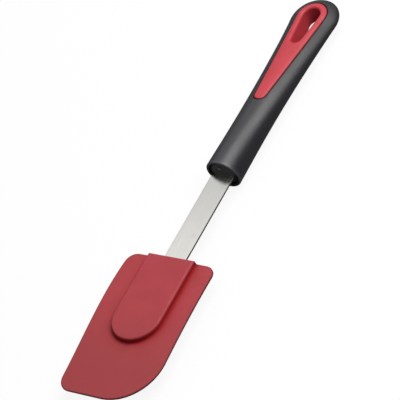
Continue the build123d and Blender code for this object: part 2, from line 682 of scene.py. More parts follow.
@dataclass
class Draft:
    """One piece while it is drawn, in millimetres from the handle's front end.

    Attributes:
        points: Blocks of points.
        faces: Point numbers of each face.
        count: Points so far.
        merge: Distance below which two points are one.
        sharp: Angle in degrees over which an edge is sharp.
    """

    points: list[np.ndarray] = field(default_factory=list)
    faces: list[tuple[int, ...]] = field(default_factory=list)
    count: int = 0
    merge: float = 0.002
    sharp: float = 40.0

    def add(self, points: np.ndarray, faces: Sequence[Sequence[int]]) -> None:
        """Add faces on new points.

        Args:
            points: Their points.
            faces: Numbers of the points of each face.
        """
        self.faces += [tuple(int(number) + self.count for number in face) for face in faces]
        self.points.append(np.asarray(points, float))
        self.count += len(points)

    def band(self, loops: Sequence[np.ndarray]) -> None:
        """Join closed loops of equal count with four-sided faces.

        Args:
            loops: The loops, one after another.
        """
        count = len(loops[0])
        faces = [
            (row + i, row + (i + 1) % count, row + count + (i + 1) % count, row + count + i)
            for row in range(0, count * (len(loops) - 1), count)
            for i in range(count)
        ]
        self.add(np.concatenate(loops), faces)

    def cap(self, loop: np.ndarray) -> None:
        """Close a loop with one face."""
        self.add(loop, [range(len(loop))])

    def mirrored_plate(self, plan: Plan, height: Callable[[np.ndarray], np.ndarray]) -> None:
        """Draw a plate that is the same above and below its mid plane.

        Args:
            plan: Its plan.
            height: Its upper surface's height over plan points.
        """
        flat, corners = plan.triangles()
        rise = height(flat)
        upper = np.column_stack([flat, rise])
        lower = np.column_stack([flat, -rise])
        self.add(upper, corners)
        self.add(lower, corners[:, ::-1])
        shift = len(flat)
        rim = [(b, a, a + shift, b + shift) for a, b in border(corners)]
        self.add(np.concatenate([upper, lower]), rim)

    def build(
        self,
        name: str,
        origin: Vector,
        finish: Surface,
        paints: dict[str, Callable[[np.ndarray], np.ndarray]],
    ) -> bpy.types.Object:
        """Make the object of this piece.

        Args:
            name: Name of the object.
            origin: Place of the handle's front end in metres.
            finish: Its finish.
            paints: Name of each paint, and what it is at each point, from 0 to 1.

        Returns:
            The object, in the row frame.
        """
        mesh = bpy.data.meshes.new(name)
        where = np.concatenate(self.points)
        mesh.from_pydata((where * MM + np.array(origin)).tolist(), [], self.faces)
        shape = bmesh.new()
        shape.from_mesh(mesh)
        bmesh.ops.remove_doubles(shape, verts=shape.verts, dist=self.merge * MM)
        loose = [vert for vert in shape.verts if not vert.link_faces]
        bmesh.ops.delete(shape, geom=loose, context="VERTS")
        bmesh.ops.recalc_face_normals(shape, faces=shape.faces)
        shape.to_mesh(mesh)
        shape.free()
        mesh.shade_smooth()
        mesh.set_sharp_from_angle(angle=math.radians(self.sharp))
        places = (np.array([vert.co for vert in mesh.vertices]) - np.array(origin)) / MM
        for paint, share in paints.items():
            layer = mesh.attributes.new(paint, "FLOAT", "POINT")
            layer.data.foreach_set("value", share(places).astype(np.float32))
        made = bpy.data.objects.new(name, mesh)
        bpy.context.scene.collection.objects.link(made)
        made.data.materials.append(finish.material())
        return made


def quarter(radius: float, steps: int) -> list[tuple[float, float]]:
    """Points down a rounded edge, from its flat side to its upright side.

    Args:
        radius: Radius of the edge.
        steps: Number of steps.

    Returns:
        How far each point is from the upright side, and how far it has sunk.
    """
    turns = [math.pi / 2 * step / steps for step in range(steps + 1)]
    return [(radius * (1 - math.sin(t)), radius * (1 - math.cos(t))) for t in turns]


def unit_circle(steps: int) -> np.ndarray:
    """Evenly spaced points round a circle of radius 1."""
    turns = np.linspace(0, 2 * math.pi, steps + 1)[:-1]
    return np.column_stack([np.cos(turns), np.sin(turns)])


def upright(flat: np.ndarray, depth: float) -> np.ndarray:
    """Points of the front end face at one depth, from places across and over it."""
    return np.column_stack([flat[:, 0], np.full(len(flat), depth), flat[:, 1]])


@dataclass(frozen=True)
class TaperedSlot:
    """Plan shape round two circles on the tool's centre line.

    Attributes:
        near: Distance of the near circle's centre from the handle's front end.
        near_radius: Its radius.
        far: Distance of the far circle's centre.
        far_radius: Its radius.
        end_steps: Points round the near end.
        side_steps: Points along each side.
    """

    near: float
    near_radius: float
    far: float
    far_radius: float
    end_steps: int = 28
    side_steps: int = 40

    def ring(self, grow: float = 0.0) -> np.ndarray:
        """Closed line at one distance outside the shape.

        Args:
            grow: The distance, below 0 for inside.

        Returns:
            Points of the line, the same count for every distance.
        """
        lean = math.asin((self.far_radius - self.near_radius) / (self.far - self.near))
        near_radius, far_radius = self.near_radius + grow, self.far_radius + grow
        turns = np.linspace(math.pi + lean, 2 * math.pi - lean, self.end_steps)
        tip = np.column_stack([np.cos(turns), np.sin(turns)]) * near_radius + (0, self.near)
        turns = np.linspace(-lean, math.pi + lean, self.end_steps + self.side_steps // 2)
        top = np.column_stack([np.cos(turns), np.sin(turns)]) * far_radius + (0, self.far)
        share = np.linspace(0, 1, self.side_steps + 2)[1:-1, None]
        right = tip[-1] * (1 - share) + top[0] * share
        left = top[-1] * (1 - share) + tip[0] * share
        return np.concatenate([tip, right, top, left])

    def outside(self, flat: np.ndarray) -> np.ndarray:
        """Distance of plan points outside the shape, below 0 inside it.

        Args:
            flat: Plan points, one row each.

        Returns:
            The distances.
        """
        lean = math.asin((self.far_radius - self.near_radius) / (self.far - self.near))
        across, along = np.abs(flat[:, 0]), flat[:, 1] - self.near
        shift = along * math.cos(lean) + across * math.sin(lean)
        length = (self.far - self.near) * math.cos(lean)
        side = across * math.cos(lean) - along * math.sin(lean) - self.near_radius
        tip = np.hypot(across, along) - self.near_radius
        top = np.hypot(across, flat[:, 1] - self.far) - self.far_radius
        return np.where(shift < 0, tip, np.where(shift > length, top, side))


# Handle form


@dataclass(frozen=True)
class HandleForm:
    """Outer form of the handle, shared by the handle and its inlay.

    Attributes:
        length: Distance from the front end to the slot's centre.
        shares: Places of the stations, as shares of the length.
        half_widths: Half width at each station.
        front_heights: Height of the front side at each station.
        back_depths: Depth of the back side at each station.
        levelling: Length over which the sides turn parallel at the slot's centre.
        end_round: Radius of the edge round the front end face.
        unroll_radius: Radius at which the skin is laid flat.
    """

    length: float = 116.5
    shares: tuple[float, ...] = (0.0, 0.26, 0.52, 0.78, 0.935, 1.0)
    half_widths: tuple[float, ...] = (10.8, 10.75, 11.75, 13.4, 14.85, 15.6)
    front_heights: tuple[float, ...] = (11.1, 9.45, 7.5, 5.8, 4.85, 4.6)
    back_depths: tuple[float, ...] = (10.3, 9.45, 8.4, 8.0, 7.6, 7.35)
    levelling: float = 5.0
    end_round: float = 0.8
    unroll_radius: float = 11.0

    def _track(self, values: tuple[float, ...], along: np.ndarray) -> np.ndarray:
        """Follow one size along the handle.

        Args:
            values: Its value at each station.
            along: Distances from the front end.

        Returns:
            Its value at each distance, level past the slot's centre.
        """
        curve = np.polynomial.Polynomial.fit(self.shares, values, len(values) - 1)
        bend = 1 - self.levelling / self.length
        share = np.clip(along / self.length, 0, 1)
        start, slope, end = curve(bend), curve.deriv()(bend), values[-1]
        t = np.clip((share - bend) / (1 - bend), 0, 1)
        level = (
            start * (2 * t**3 - 3 * t**2 + 1)
            + slope * (1 - bend) * (t**3 - 2 * t**2 + t)
            + end * (3 * t**2 - 2 * t**3)
        )
        return np.where(share < bend, curve(share), level)

    def section(self, along: np.ndarray) -> tuple[np.ndarray, np.ndarray, np.ndarray]:
        """Half width, half height and height of the middle of the oval sections.

        Args:
            along: Distances from the front end.

        Returns:
            The three sizes at each distance.
        """
        front = self._track(self.front_heights, along)
        back = self._track(self.back_depths, along)
        return self._track(self.half_widths, along), (front + back) / 2, (front - back) / 2

    def height(self, flat: np.ndarray, side: Side, grow: float = 0.0) -> np.ndarray:
        """Height of the grown skin over plan points.

        Args:
            flat: Plan points, one row each.
            side: Front or back skin.
            grow: How far the skin is grown outwards.

        Returns:
            The heights.
        """
        half_width, half_height, middle = self.section(flat[:, 1])
        reach = np.hypot(flat[:, 0], np.maximum(flat[:, 1] - self.length, 0))
        share = np.clip(reach / (half_width + grow), 0, 1)
        return middle + side.value * (half_height + grow) * np.sqrt(1 - share**2)

    def flattened(self, flat: np.ndarray) -> np.ndarray:
        """Turn plan points into places on the skin laid flat.

        Args:
            flat: Plan points, one row each.

        Returns:
            Their places on the flat skin.
        """
        past = np.maximum(flat[:, 1] - self.length, 0)
        reach = np.hypot(flat[:, 0], past)
        turn = np.arcsin(np.clip(reach / self.section(flat[:, 1])[0], 0, 1))
        factor = np.where(reach > 0, self.unroll_radius * turn / np.maximum(reach, TINY), 1)
        before = np.minimum(flat[:, 1], self.length)
        return np.column_stack([flat[:, 0] * factor, before + past * factor])

    def wrapped(self, laid: np.ndarray, side: Side) -> np.ndarray:
        """Turn places on the flat skin into points in space.

        Args:
            laid: Places on the flat skin, one row each.
            side: Front or back skin.

        Returns:
            The points.
        """
        along = np.clip(laid[:, 1], 0, self.length)
        past = np.maximum(laid[:, 1] - self.length, 0)
        half_width, half_height, middle = self.section(along)
        edge = np.clip(self.end_round - along, 0, self.end_round)
        inset = self.end_round - np.sqrt(self.end_round**2 - edge**2)
        reach = np.hypot(laid[:, 0], past)
        turn = reach / self.unroll_radius
        factor = (half_width - inset) * np.sin(turn) / np.maximum(reach, TINY)
        rise = side.value * (half_height - inset) * np.cos(turn)
        return np.column_stack([laid[:, 0] * factor, along + past * factor, middle + rise])


# Pieces of the spatula


@dataclass
class Handle:
    """Hard handle: skin, end recess, inlay pocket and the slot's hole.

    Attributes:
        form: Its outer form.
        pocket: Plan of the inlay's pocket.
        lining: Plan of the hole for the slot's lining.
        pocket_depth: Depth of the pocket under the skin.
        lip: Radius of the edges round pocket and hole.
        rim_width: Width of the rim round the front end face.
        recess_depth: Depth of the recess inside the rim.
        groove: Width and depth of the groove between the rim and the recess's core.
        tang: Half width, half thickness and length of the shank's pocket.
        gate: Radius and height of the moulding gate's mark in the recess.
        gate_place: Place of that mark across and over the shank.
        soft: Radius of the small edges in the front end face.
        rim_highlight: How strongly a highlight is painted on the front end's rim.
        guide_gaps: Distances of the lines that the skin's triangles follow round a hole.
        first_row: Distance of the skin's first free row from the front end.
        spacing: Distance between free points of the skin.
        end_spacing: Distance between free points of the front end face.
        half_steps: Steps from one side of a section to the other.
        end_steps: Steps round the hanging end.
        edge_steps: Steps round the front end's edge.
        lip_steps: Steps round a lip.
        soft_steps: Steps round a small edge.
        gate_steps: Steps round the gate's mark.
        tang_steps: Steps along each side of the shank's pocket.
        finish: Its finish.
    """

    form: HandleForm
    pocket: TaperedSlot
    lining: TaperedSlot
    pocket_depth: float = 1.8
    lip: float = 0.2
    rim_width: float = 1.7
    recess_depth: float = 0.8
    groove: tuple[float, float] = (1.1, 2.2)
    tang: tuple[float, float, float] = (7.4, 0.65, 40.0)
    gate: tuple[float, float] = (1.2, 0.5)
    gate_place: tuple[float, float] = (-0.8, 5.1)
    soft: float = 0.3
    rim_highlight: float = 0.27
    guide_gaps: tuple[float, float] = (0.3, 0.9)
    first_row: float = 2.0
    spacing: float = 1.5
    end_spacing: float = 2.0
    half_steps: int = 48
    end_steps: int = 44
    edge_steps: int = 7
    lip_steps: int = 5
    soft_steps: int = 4
    gate_steps: int = 24
    tang_steps: int = 11
    finish: Surface = MouldedPlasticFinish("moulded_black_plastic", "111117", roughness=0.46)

    def _half_turns(self) -> np.ndarray:
        """Angles from one side of a section over its top to the other."""
        return np.linspace(-math.pi / 2, math.pi / 2, self.half_steps + 1)

    def _laid_outline(self) -> np.ndarray:
        """Outline of one side's skin laid flat."""
        reach, length = self.form.unroll_radius * math.pi / 2, self.form.length
        free_rows = np.arange(self.first_row, length, self.spacing)
        rows = np.concatenate([self._edge_rows(), free_rows])
        left = np.column_stack([np.full(len(rows), -reach), rows])
        turns = np.linspace(math.pi, 0, self.end_steps + 1)
        end = np.column_stack([reach * np.cos(turns), length + reach * np.sin(turns)])
        right = np.column_stack([-left[::-1, 0], left[::-1, 1]])
        over = self._half_turns()[::-1]
        front = np.column_stack([over * self.form.unroll_radius, np.zeros(len(over))])
        return np.concatenate([left[:-1], end, right[1:-1], front[:-1]])

    def _edge_rows(self) -> np.ndarray:
        """Distances of the rows round the front end's rounded edge."""
        return np.array([sunk for _, sunk in quarter(self.form.end_round, self.edge_steps)])

    def _skin(self, draft: Draft, side: Side, hole: TaperedSlot) -> None:
        """Draw the skin of one side, with the rounded lip of its hole.

        Args:
            draft: Draft of the handle.
            side: Front or back skin.
            hole: Plan of the hole in this side.
        """
        across = self._half_turns() * self.form.unroll_radius
        rows = [np.column_stack([across, np.full(len(across), row)]) for row in self._edge_rows()[1:]]
        rings = [self.form.flattened(hole.ring(self.lip + gap)) for gap in self.guide_gaps]
        plan = Plan(
            self._laid_outline(),
            holes=[self.form.flattened(hole.ring(self.lip))],
            rings=rings,
            lines=rows,
            spacing=self.spacing,
        )
        laid, corners = plan.triangles()
        draft.add(self.form.wrapped(laid, side), corners)
        loops = []
        for grow, sunk in quarter(self.lip, self.lip_steps):
            flat = hole.ring(grow)
            rise = self.form.height(flat, side) - side.value * sunk
            loops.append(np.column_stack([flat, rise]))
        draft.band(loops)

    def _pocket(self, draft: Draft) -> None:
        """Draw the pocket's walls and floor, and the walls of the slot's hole."""
        top, low = self.pocket.ring(), self.lining.ring()
        front, back = self.form.height(top, Side.FRONT), self.form.height(low, Side.BACK)
        floor_rim = self.form.height(top, Side.FRONT, -self.pocket_depth)
        floor_hole = self.form.height(low, Side.FRONT, -self.pocket_depth)
        draft.band([np.column_stack([top, front - self.lip]), np.column_stack([top, floor_rim])])
        draft.band([np.column_stack([low, floor_hole]), np.column_stack([low, back + self.lip])])
        flat, corners = Plan(top, holes=[low]).triangles()
        rise = self.form.height(flat, Side.FRONT, -self.pocket_depth)
        draft.add(np.column_stack([flat, rise]), corners)

    def _end_ring(self, inset: float, depth: float) -> np.ndarray:
        """Oval line on the front end.

        Args:
            inset: Distance inside the first section.
            depth: Distance into the handle.

        Returns:
            Points of the line.
        """
        half_width, half_height, middle = (size[0] for size in self.form.section(np.zeros(1)))
        over = self._half_turns()
        turns = np.concatenate([over[:-1], over[:-1] + math.pi])
        across = (half_width - inset) * np.sin(turns)
        rise = middle + (half_height - inset) * np.cos(turns)
        return np.column_stack([across, np.full(len(turns), depth), rise])

    def _end_face(self, draft: Draft) -> None:
        """Draw the front end's rim, groove, recess, shank pocket and gate mark."""
        floor = self.recess_depth
        groove_width, low = self.groove
        core = self.rim_width + groove_width
        corner = quarter(self.soft, self.soft_steps)
        loops = [self._end_ring(self.form.end_round, 0), self._end_ring(self.rim_width - self.soft, 0)]
        loops += [self._end_ring(self.rim_width - gap, sunk) for gap, sunk in corner[1:]]
        loops += [self._end_ring(self.rim_width + sunk, low - gap) for gap, sunk in corner]
        loops += [self._end_ring(core - sunk, low - gap) for gap, sunk in reversed(corner)]
        loops += [self._end_ring(core + gap, floor + sunk) for gap, sunk in reversed(corner)]
        draft.band(loops)
        mouth, gate_base = self._tang_mouth(), self._gate_ring(0.0)
        outline = loops[-1][:, [0, 2]]
        plan = Plan(outline, holes=[mouth, gate_base], spacing=self.end_spacing)
        flat, corners = plan.triangles()
        draft.add(upright(flat, floor), corners)
        walls = [upright(mouth, depth) for depth in (floor, self.tang[2])]
        draft.band(walls)
        draft.cap(walls[-1])
        rise = self.gate[1]
        pips = [upright(gate_base, floor)]
        for gap, sunk in reversed(quarter(rise, self.soft_steps)):
            pips.append(upright(self._gate_ring(gap), floor - rise + sunk))
        draft.band(pips)
        draft.cap(pips[-1])

    def _tang_mouth(self) -> np.ndarray:
        """Outline of the shank's pocket, as places across and over the front end."""
        half_width, half_thickness, _ = self.tang
        share = np.linspace(0, 1, self.tang_steps + 1)[:-1, None]
        corners = np.array([(-1, -1), (1, -1), (1, 1), (-1, 1)]) * (half_width, half_thickness)
        sides = zip(corners, np.roll(corners, -1, axis=0))
        return np.concatenate([start * (1 - share) + end * share for start, end in sides])

    def _gate_ring(self, inset: float) -> np.ndarray:
        """Ring round the gate's mark at one distance inside its edge."""
        return unit_circle(self.gate_steps) * (self.gate[0] - inset) + self.gate_place

    def _rim_highlight_and_gate(self, where: np.ndarray) -> np.ndarray:
        """Painted highlight on the front end's rim, and the lighter gate mark, at each point.

        Args:
            where: Points in millimetres from the handle's front end.

        Returns:
            The share, from 0 to 1.
        """
        half_width, half_height, middle = self.form.section(where[:, 1])
        share = np.hypot(where[:, 0] / half_width, (where[:, 2] - middle) / half_height)
        rim_middle, rim_reach, rim_share, gate_share, gate_clearance = 0.3, 0.5, 0.94, 0.8, 0.1
        # Painted highlight along the front end's rim.
        rim = np.exp(-(((where[:, 1] - rim_middle) / rim_reach) ** 2)) * (share > rim_share)
        gate = np.hypot(*(where[:, [0, 2]] - self.gate_place).T) < self.gate[0] * gate_share
        raised = where[:, 1] < self.recess_depth - gate_clearance
        return np.maximum(np.clip(rim, 0, 1) * self.rim_highlight, gate * raised)

    def build(self, origin: Vector) -> bpy.types.Object:
        """Draw and dress the handle.

        Args:
            origin: Place of the handle's front end in metres.

        Returns:
            The handle.
        """
        draft = Draft()
        self._skin(draft, Side.FRONT, self.pocket)
        self._skin(draft, Side.BACK, self.lining)
        self._pocket(draft)
        self._end_face(draft)
        # Painted highlight on the front end's rim, and a lighter grey gate mark.
        return draft.build("moulded_handle", origin, self.finish, {"rim_highlight_and_gate": self._rim_highlight_and_gate})


@dataclass
class Inlay:
    """Soft inlay: proud tongue in the handle's front that lines the hanging slot.

    Attributes:
        form: Outer form of the handle.
        outline: Plan of the tongue.
        slot: Plan of the hanging slot.
        wall: Thickness of the slot's lining.
        depth: Depth of the tongue under the skin.
        stand: How far the tongue stands proud of the skin.
        groove: Gap between the tongue and the handle's lip.
        edge_round: Radius of the tongue's edge.
        front_round: Radius of the slot's edge on the front.
        back_round: Radius of the slot's edge on the back.
        draught: How much narrower the slot is at the back, on each side.
        soft: Radius of the lining's outer edge at the back.
        edge_steps: Steps round the tongue's edge.
        front_steps: Steps round the slot's edge on the front.
        back_steps: Steps round the slot's edge on the back.
        soft_steps: Steps round the lining's outer edge.
        wall_shares: Places of the lines on the slot's wall, as shares of its height.
        spacing: Distance between free points of the tongue's face.
        finish: Its finish.
    """

    form: HandleForm
    outline: TaperedSlot
    slot: TaperedSlot
    wall: float = 2.0
    depth: float = 1.8
    stand: float = 0.35
    groove: float = 0.4
    edge_round: float = 1.1
    front_round: float = 2.0
    back_round: float = 0.3
    draught: float = 0.3
    soft: float = 0.15
    edge_steps: int = 9
    front_steps: int = 10
    back_steps: int = 6
    soft_steps: int = 3
    wall_shares: tuple[float, ...] = (0.25, 0.5, 0.75)
    spacing: float = 1.3
    finish: Surface = SiliconeFinish(
        "soft_red_inlay",
        "C63C47",
        roughness=0.5,
        deep="BC3741",
        # Colour of the shade painted in the gap round the tongue and deep in the slot.
        painted_shade="5A0008",
        cloud=11.0,
        grain=0.25,
        waviness=0.02,
    )

    def _crown(self, flat: np.ndarray) -> np.ndarray:
        """Height of the tongue's face over plan points."""
        return self.form.height(flat, Side.FRONT, self.stand)

    def _under(self, flat: np.ndarray) -> np.ndarray:
        """Height of the tongue's underside over plan points."""
        return self.form.height(flat, Side.FRONT, -self.depth)

    def _face(self, draft: Draft) -> None:
        """Draw the crowned face with its rounded outer edge and side wall."""
        loops = []
        for gap, sunk in quarter(self.edge_round, self.edge_steps):
            flat = self.outline.ring(-gap - self.groove)
            loops.append(np.column_stack([flat, self._crown(flat) - sunk]))
        low = self.outline.ring(-self.groove)
        draft.band([*loops, np.column_stack([low, self._under(low)])])
        outer = self.outline.ring(-self.edge_round - self.groove)
        inner = self.slot.ring(self.front_round)
        flat, corners = Plan(outer, holes=[inner], spacing=self.spacing).triangles()
        draft.add(np.column_stack([flat, self._crown(flat)]), corners)

    def _lining(self, draft: Draft) -> None:
        """Draw the slot's rounded edges, its wall and the flush ring at the back."""
        loops = []
        for gap, sunk in quarter(self.front_round, self.front_steps):
            flat = self.slot.ring(gap)
            loops.append(np.column_stack([flat, self._crown(flat) - sunk]))
        for share in self.wall_shares:
            flat = self.slot.ring(-self.draught * share)
            top = self._crown(flat) - self.front_round
            low = self.form.height(flat, Side.BACK) + self.back_round
            loops.append(np.column_stack([flat, top * (1 - share) + low * share]))
        for gap, sunk in reversed(quarter(self.back_round, self.back_steps)):
            flat = self.slot.ring(gap - self.draught)
            loops.append(np.column_stack([flat, self.form.height(flat, Side.BACK) + sunk]))
        outer = self.wall - self.groove
        for gap, sunk in quarter(self.soft, self.soft_steps):
            flat = self.slot.ring(outer - gap)
            loops.append(np.column_stack([flat, self.form.height(flat, Side.BACK) + sunk]))
        flat = self.slot.ring(outer)
        loops.append(np.column_stack([flat, self._under(flat)]))
        draft.band(loops)

    def _underside(self, draft: Draft) -> None:
        """Draw the hidden underside of the tongue."""
        outer, inner = self.outline.ring(-self.groove), self.slot.ring(self.wall - self.groove)
        flat, corners = Plan(outer, holes=[inner]).triangles()
        draft.add(np.column_stack([flat, self._under(flat)]), corners)

    def _painted_shade(self, where: np.ndarray) -> np.ndarray:
        """How much shade is painted on each point, deep in the gap round the tongue or in the slot.

        Args:
            where: Points in millimetres from the handle's front end.

        Returns:
            The share, from 0 to 1.
        """
        flat = where[:, :2]
        sunk = self._crown(flat) - where[:, 2]
        gap_width, gap_from, gap_length = 0.6, 0.1, 0.6
        slot_from, slot_length, slot_share = 3.5, 12, 0.5
        outer = self.outline.outside(flat) > -self.groove - gap_width
        gap = np.clip((sunk - gap_from) / gap_length, 0, 1) * outer
        end = np.clip((where[:, 1] - self.slot.far) / self.slot.far_radius, 0, 1)
        slot = np.clip((sunk - slot_from) / slot_length, 0, slot_share) * end * ~outer
        return np.maximum(gap, slot)

    def build(self, origin: Vector) -> bpy.types.Object:
        """Draw and dress the inlay.

        Args:
            origin: Place of the handle's front end in metres.

        Returns:
            The inlay.
        """
        draft = Draft()
        self._face(draft)
        self._lining(draft)
        self._underside(draft)
        # Painted shade in the gap round the tongue and deep in the slot towards its far end.
        return draft.build("soft_slot_inlay", origin, self.finish, {"painted_shade": self._painted_shade})


@dataclass
class Shank:
    """Flat steel strip with softened edges and its key holes.

    Attributes:
        half_width: Half of its width.
        half_thickness: Half of its thickness.
        ends: Distances of its two ends from the handle's front end.
        corner: Radius of its corners.
        edge_round: Radius of its long edges.
        key_radius: Radius of the key holes.
        keys: Distances of the key holes' centres.
        cut_gap: How far under the face the sheared edge starts.
        corner_steps: Steps round a corner.
        side_points: Points along a long side, with both ends.
        edge_steps: Steps round a long edge.
        key_steps: Steps round a key hole.
        spacing: Distance between free points.
        finish: Its finish.
    """

    half_width: float = 7.35
    half_thickness: float = 0.6
    ends: tuple[float, float] = (-104.5, 40.0)
    corner: float = 3.0
    edge_round: float = 0.12
    key_radius: float = 3.0
    keys: tuple[float, ...] = (32.0, 20.0, -96.5, -84.5, -72.5)
    cut_gap: float = 0.003
    corner_steps: int = 8
    side_points: int = 60
    edge_steps: int = 4
    key_steps: int = 32
    spacing: float = 3.0
    finish: Surface = BrushedSteelFinish("brushed_stainless_steel", "C4C4C2", roughness=0.24)

    def _ring(self, inset: float) -> np.ndarray:
        """Closed line at one distance inside the strip's outline.

        Args:
            inset: The distance.

        Returns:
            Points of the line.
        """
        low, high = self.ends
        radius = self.corner - inset
        centres = [
            (self.half_width - self.corner, high - self.corner),
            (self.corner - self.half_width, high - self.corner),
            (self.corner - self.half_width, low + self.corner),
            (self.half_width - self.corner, low + self.corner),
        ]
        points: list[np.ndarray] = []
        for number, centre in enumerate(centres):
            turns = math.pi / 2 * (number + np.linspace(0, 1, self.corner_steps + 1))
            points.append(np.column_stack([np.cos(turns), np.sin(turns)]) * radius + centre)
            if number in (1, 3):
                down = -1 if number == 1 else 1
                rows = np.linspace(low + self.corner, high - self.corner, self.side_points)
                rows = rows[1:-1][::down]
                side = (self.half_width - inset) * down
                points.append(np.column_stack([np.full(len(rows), side), rows]))
        return np.concatenate(points)

    def _cut_edge_and_shade(self, where: np.ndarray) -> np.ndarray:
        """Tell which points are on the sheared edge, whose duller grey also carries painted shade."""
        return (np.abs(where[:, 2]) < self.half_thickness - self.cut_gap).astype(float)

    def _height(self, flat: np.ndarray) -> np.ndarray:
        """Height of the strip's face, sinking round its outline."""
        gap = distance_to(flat, self._ring(0.0))
        short = np.clip(self.edge_round - gap, 0, self.edge_round)
        return self.half_thickness - self.edge_round + np.sqrt(self.edge_round**2 - short**2)

    def build(self, origin: Vector) -> bpy.types.Object:
        """Draw and dress the strip.

        Args:
            origin: Place of the handle's front end in metres.

        Returns:
            The strip.
        """
        circle = unit_circle(self.key_steps) * self.key_radius
        plan = Plan(
            self._ring(0.0),
            holes=[circle + (0, key) for key in self.keys],
            rings=[self._ring(gap) for gap, _ in quarter(self.edge_round, self.edge_steps)[:-1]],
            spacing=self.spacing,
        )
        draft = Draft()
        draft.mirrored_plate(plan, self._height)
        # Sheared edges in a duller grey, darkened further as painted shade.
        return draft.build("brushed_strip", origin, self.finish, {"cut_edge_and_shade": self._cut_edge_and_shade})


